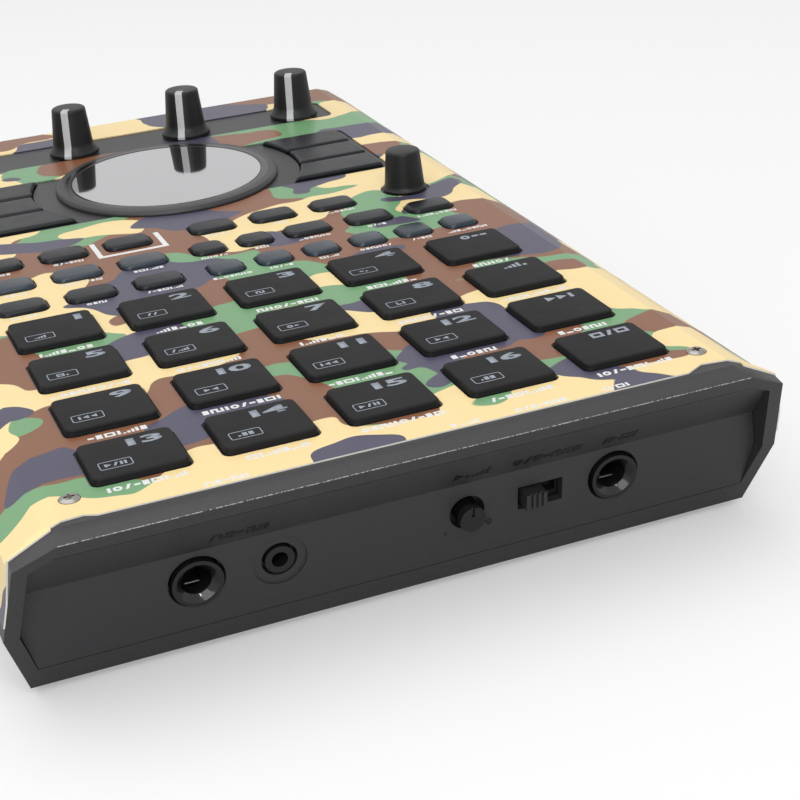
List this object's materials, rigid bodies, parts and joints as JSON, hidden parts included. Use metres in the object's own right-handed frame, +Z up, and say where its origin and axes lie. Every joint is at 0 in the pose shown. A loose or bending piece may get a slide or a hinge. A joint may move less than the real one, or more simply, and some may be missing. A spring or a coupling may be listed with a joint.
{
  "type": "sampler",
  "caption": "Desktop sampler: sloped case with a pad grid, small rubber keys, a round display, tall knobs and a printed top skin; jacks on the front and back.",
  "frame": {"origin": "under the middle of the case, on the plane that the rubber feet stand on", "axes": "+X to the right as the player sits, +Y away from the player, +Z up"},
  "size_m": [0.1774, 0.2757, 0.0704],
  "materials": {
    "case": "satin black moulded ABS with a fine grain",
    "skin": "printed vinyl sheet, matte laminate",
    "pad_rubber": "matte dark grey silicone rubber",
    "key_rubber": "matte dark grey silicone rubber",
    "knob": "soft-touch black plastic with metal shaft",
    "metal_plunger": "moulded plastic disc",
    "lens": "smoked glossy acrylic window",
    "display": "black display glass",
    "board": "green solder resist on glass-fibre laminate",
    "component": "black moulded component bodies",
    "socket": "glossy black plastic socket",
    "cell": "sleeved steel can",
    "contact": "nickel-plated spring steel",
    "foot": "black rubber",
    "screw": "nickel-plated steel, crosshead",
    "slider": "black moulded plastic"
  },
  "bodies": {
    "case": {"batteries": "cell", "battery_contacts": "contact", "bottom_case": "case", "control_board": "board", "display_bezel": "case", "display_lens": "lens", "display_module": "display", "front_jack_board": "board", "front_panel": "case", "main_board": "board", "panel_skin": "skin", "pots_and_switches": "component", "quarter_inch_jacks": "socket", "rear_panel": "case", "rubber_feet": "foot", "screws": "screw", "small_sockets": "socket", "top_case": "case"},
    "control_knob_1": {"control_knob_1": "knob"},
    "control_knob_2": {"control_knob_2": "knob"},
    "control_knob_3": {"control_knob_3": "knob"},
    "effect_key_left_1": {"effect_key_left_1": "key_rubber"},
    "effect_key_left_2": {"effect_key_left_2": "key_rubber"},
    "effect_key_left_3": {"effect_key_left_3": "key_rubber"},
    "effect_key_right_1": {"effect_key_right_1": "key_rubber"},
    "effect_key_right_2": {"effect_key_right_2": "key_rubber"},
    "effect_key_right_3": {"effect_key_right_3": "key_rubber"},
    "function_pad_1": {"function_pad_1": "pad_rubber"},
    "function_pad_2": {"function_pad_2": "pad_rubber"},
    "function_pad_3": {"function_pad_3": "pad_rubber"},
    "function_pad_4": {"function_pad_4": "pad_rubber"},
    "gain_knob": {"gain_knob": "knob"},
    "input_switch": {"input_switch": "slider"},
    "left_keys_front": {"left_keys_front": "key_rubber"},
    "left_keys_middle": {"left_keys_middle": "key_rubber"},
    "left_keys_rear": {"left_keys_rear": "key_rubber"},
    "pad_1": {"pad_1": "pad_rubber"},
    "pad_10": {"pad_10": "pad_rubber"},
    "pad_11": {"pad_11": "pad_rubber"},
    "pad_12": {"pad_12": "pad_rubber"},
    "pad_13": {"pad_13": "pad_rubber"},
    "pad_14": {"pad_14": "pad_rubber"},
    "pad_15": {"pad_15": "pad_rubber"},
    "pad_16": {"pad_16": "pad_rubber"},
    "pad_2": {"pad_2": "pad_rubber"},
    "pad_3": {"pad_3": "pad_rubber"},
    "pad_4": {"pad_4": "pad_rubber"},
    "pad_5": {"pad_5": "pad_rubber"},
    "pad_6": {"pad_6": "pad_rubber"},
    "pad_7": {"pad_7": "pad_rubber"},
    "pad_8": {"pad_8": "pad_rubber"},
    "pad_9": {"pad_9": "pad_rubber"},
    "power_switch": {"power_switch": "slider"},
    "right_keys_front": {"right_keys_front": "key_rubber"},
    "right_keys_middle": {"right_keys_middle": "key_rubber"},
    "right_keys_rear": {"right_keys_rear": "key_rubber"},
    "value_knob": {"value_knob": "knob"},
    "value_plunger": {"value_plunger": "metal_plunger"},
    "volume_knob": {"volume_knob": "knob"},
    "battery_cover": {"battery_cover": "case"}
  },
  "joints": [
    {"name": "effect_key_left_1_press", "type": "slide", "parent": "case", "child": "effect_key_left_1", "axis": [0, 0.0523, -0.9986], "range_m": [0, 0.0007], "stiffness_N_per_m": 900, "springref_m": -0.0005},
    {"name": "effect_key_left_2_press", "type": "slide", "parent": "case", "child": "effect_key_left_2", "axis": [0, 0.0523, -0.9986], "range_m": [0, 0.0007], "stiffness_N_per_m": 900, "springref_m": -0.0005},
    {"name": "effect_key_left_3_press", "type": "slide", "parent": "case", "child": "effect_key_left_3", "axis": [0, 0.0523, -0.9986], "range_m": [0, 0.0007], "stiffness_N_per_m": 900, "springref_m": -0.0005},
    {"name": "effect_key_right_1_press", "type": "slide", "parent": "case", "child": "effect_key_right_1", "axis": [0, 0.0523, -0.9986], "range_m": [0, 0.0007], "stiffness_N_per_m": 900, "springref_m": -0.0005},
    {"name": "effect_key_right_2_press", "type": "slide", "parent": "case", "child": "effect_key_right_2", "axis": [0, 0.0523, -0.9986], "range_m": [0, 0.0007], "stiffness_N_per_m": 900, "springref_m": -0.0005},
    {"name": "effect_key_right_3_press", "type": "slide", "parent": "case", "child": "effect_key_right_3", "axis": [0, 0.0523, -0.9986], "range_m": [0, 0.0007], "stiffness_N_per_m": 900, "springref_m": -0.0005},
    {"name": "function_pad_1_press", "type": "slide", "parent": "case", "child": "function_pad_1", "axis": [0, 0.0523, -0.9986], "range_m": [0, 0.001], "stiffness_N_per_m": 800, "springref_m": -0.0005},
    {"name": "function_pad_2_press", "type": "slide", "parent": "case", "child": "function_pad_2", "axis": [0, 0.0523, -0.9986], "range_m": [0, 0.001], "stiffness_N_per_m": 800, "springref_m": -0.0005},
    {"name": "function_pad_3_press", "type": "slide", "parent": "case", "child": "function_pad_3", "axis": [0, 0.0523, -0.9986], "range_m": [0, 0.001], "stiffness_N_per_m": 800, "springref_m": -0.0005},
    {"name": "function_pad_4_press", "type": "slide", "parent": "case", "child": "function_pad_4", "axis": [0, 0.0523, -0.9986], "range_m": [0, 0.001], "stiffness_N_per_m": 800, "springref_m": -0.0005},
    {"name": "left_keys_front_press", "type": "slide", "parent": "case", "child": "left_keys_front", "axis": [0, 0.0523, -0.9986], "range_m": [0, 0.0007], "stiffness_N_per_m": 900, "springref_m": -0.0005},
    {"name": "left_keys_middle_press", "type": "slide", "parent": "case", "child": "left_keys_middle", "axis": [0, 0.0523, -0.9986], "range_m": [0, 0.0007], "stiffness_N_per_m": 900, "springref_m": -0.0005},
    {"name": "left_keys_rear_press", "type": "slide", "parent": "case", "child": "left_keys_rear", "axis": [0, 0.0523, -0.9986], "range_m": [0, 0.0007], "stiffness_N_per_m": 900, "springref_m": -0.0005},
    {"name": "pad_1_press", "type": "slide", "parent": "case", "child": "pad_1", "axis": [0, 0.0523, -0.9986], "range_m": [0, 0.001], "stiffness_N_per_m": 800, "springref_m": -0.0005},
    {"name": "pad_10_press", "type": "slide", "parent": "case", "child": "pad_10", "axis": [0, 0.0523, -0.9986], "range_m": [0, 0.001], "stiffness_N_per_m": 800, "springref_m": -0.0005},
    {"name": "pad_11_press", "type": "slide", "parent": "case", "child": "pad_11", "axis": [0, 0.0523, -0.9986], "range_m": [0, 0.001], "stiffness_N_per_m": 800, "springref_m": -0.0005},
    {"name": "pad_12_press", "type": "slide", "parent": "case", "child": "pad_12", "axis": [0, 0.0523, -0.9986], "range_m": [0, 0.001], "stiffness_N_per_m": 800, "springref_m": -0.0005},
    {"name": "pad_13_press", "type": "slide", "parent": "case", "child": "pad_13", "axis": [0, 0.0523, -0.9986], "range_m": [0, 0.001], "stiffness_N_per_m": 800, "springref_m": -0.0005},
    {"name": "pad_14_press", "type": "slide", "parent": "case", "child": "pad_14", "axis": [0, 0.0523, -0.9986], "range_m": [0, 0.001], "stiffness_N_per_m": 800, "springref_m": -0.0005},
    {"name": "pad_15_press", "type": "slide", "parent": "case", "child": "pad_15", "axis": [0, 0.0523, -0.9986], "range_m": [0, 0.001], "stiffness_N_per_m": 800, "springref_m": -0.0005},
    {"name": "pad_16_press", "type": "slide", "parent": "case", "child": "pad_16", "axis": [0, 0.0523, -0.9986], "range_m": [0, 0.001], "stiffness_N_per_m": 800, "springref_m": -0.0005},
    {"name": "pad_2_press", "type": "slide", "parent": "case", "child": "pad_2", "axis": [0, 0.0523, -0.9986], "range_m": [0, 0.001], "stiffness_N_per_m": 800, "springref_m": -0.0005},
    {"name": "pad_3_press", "type": "slide", "parent": "case", "child": "pad_3", "axis": [0, 0.0523, -0.9986], "range_m": [0, 0.001], "stiffness_N_per_m": 800, "springref_m": -0.0005},
    {"name": "pad_4_press", "type": "slide", "parent": "case", "child": "pad_4", "axis": [0, 0.0523, -0.9986], "range_m": [0, 0.001], "stiffness_N_per_m": 800, "springref_m": -0.0005},
    {"name": "pad_5_press", "type": "slide", "parent": "case", "child": "pad_5", "axis": [0, 0.0523, -0.9986], "range_m": [0, 0.001], "stiffness_N_per_m": 800, "springref_m": -0.0005},
    {"name": "pad_6_press", "type": "slide", "parent": "case", "child": "pad_6", "axis": [0, 0.0523, -0.9986], "range_m": [0, 0.001], "stiffness_N_per_m": 800, "springref_m": -0.0005},
    {"name": "pad_7_press", "type": "slide", "parent": "case", "child": "pad_7", "axis": [0, 0.0523, -0.9986], "range_m": [0, 0.001], "stiffness_N_per_m": 800, "springref_m": -0.0005},
    {"name": "pad_8_press", "type": "slide", "parent": "case", "child": "pad_8", "axis": [0, 0.0523, -0.9986], "range_m": [0, 0.001], "stiffness_N_per_m": 800, "springref_m": -0.0005},
    {"name": "pad_9_press", "type": "slide", "parent": "case", "child": "pad_9", "axis": [0, 0.0523, -0.9986], "range_m": [0, 0.001], "stiffness_N_per_m": 800, "springref_m": -0.0005},
    {"name": "right_keys_front_press", "type": "slide", "parent": "case", "child": "right_keys_front", "axis": [0, 0.0523, -0.9986], "range_m": [0, 0.0007], "stiffness_N_per_m": 900, "springref_m": -0.0005},
    {"name": "right_keys_middle_press", "type": "slide", "parent": "case", "child": "right_keys_middle", "axis": [0, 0.0523, -0.9986], "range_m": [0, 0.0007], "stiffness_N_per_m": 900, "springref_m": -0.0005},
    {"name": "right_keys_rear_press", "type": "slide", "parent": "case", "child": "right_keys_rear", "axis": [0, 0.0523, -0.9986], "range_m": [0, 0.0007], "stiffness_N_per_m": 900, "springref_m": -0.0005},
    {"name": "volume_knob_turn", "type": "hinge", "parent": "case", "child": "volume_knob", "pos_m": [-0.0545, 0.10735, 0.05498], "axis": [0, 0.0523, -0.9986], "range_deg": [0, 300]},
    {"name": "control_knob_1_turn", "type": "hinge", "parent": "case", "child": "control_knob_1", "pos_m": [-0.0175, 0.10735, 0.05498], "axis": [0, 0.0523, -0.9986], "range_deg": [0, 300]},
    {"name": "control_knob_2_turn", "type": "hinge", "parent": "case", "child": "control_knob_2", "pos_m": [0.0195, 0.10735, 0.05498], "axis": [0, 0.0523, -0.9986], "range_deg": [0, 300]},
    {"name": "control_knob_3_turn", "type": "hinge", "parent": "case", "child": "control_knob_3", "pos_m": [0.0565, 0.10735, 0.05498], "axis": [0, 0.0523, -0.9986], "range_deg": [0, 300]},
    {"name": "value_knob_push", "type": "slide", "parent": "case", "child": "value_plunger", "axis": [0, 0.0523, -0.9986], "range_m": [0, 0.00045], "stiffness_N_per_m": 1200, "springref_m": -0.0005},
    {"name": "value_knob_turn", "type": "hinge", "parent": "value_plunger", "child": "value_knob", "pos_m": [0.059, 0.01688, 0.05024], "axis": [0, -0.0523, 0.9986], "continuous": true},
    {"name": "gain_knob_turn", "type": "hinge", "parent": "case", "child": "gain_knob", "pos_m": [0.0128, -0.12505, 0.0188], "axis": [0, -0.9871, -0.1599], "range_deg": [-150, 150]},
    {"name": "input_switch_slide", "type": "slide", "parent": "case", "child": "input_switch", "axis": [1, 0, 0], "range_m": [0, 0.004]},
    {"name": "power_switch_slide", "type": "slide", "parent": "case", "child": "power_switch", "axis": [-1, 0, 0], "range_m": [0, 0.004]},
    {"name": "battery_cover_release", "type": "slide", "parent": "case", "child": "battery_cover", "axis": [0, 0, -1], "range_m": [0, 0.0021]}
  ]
}
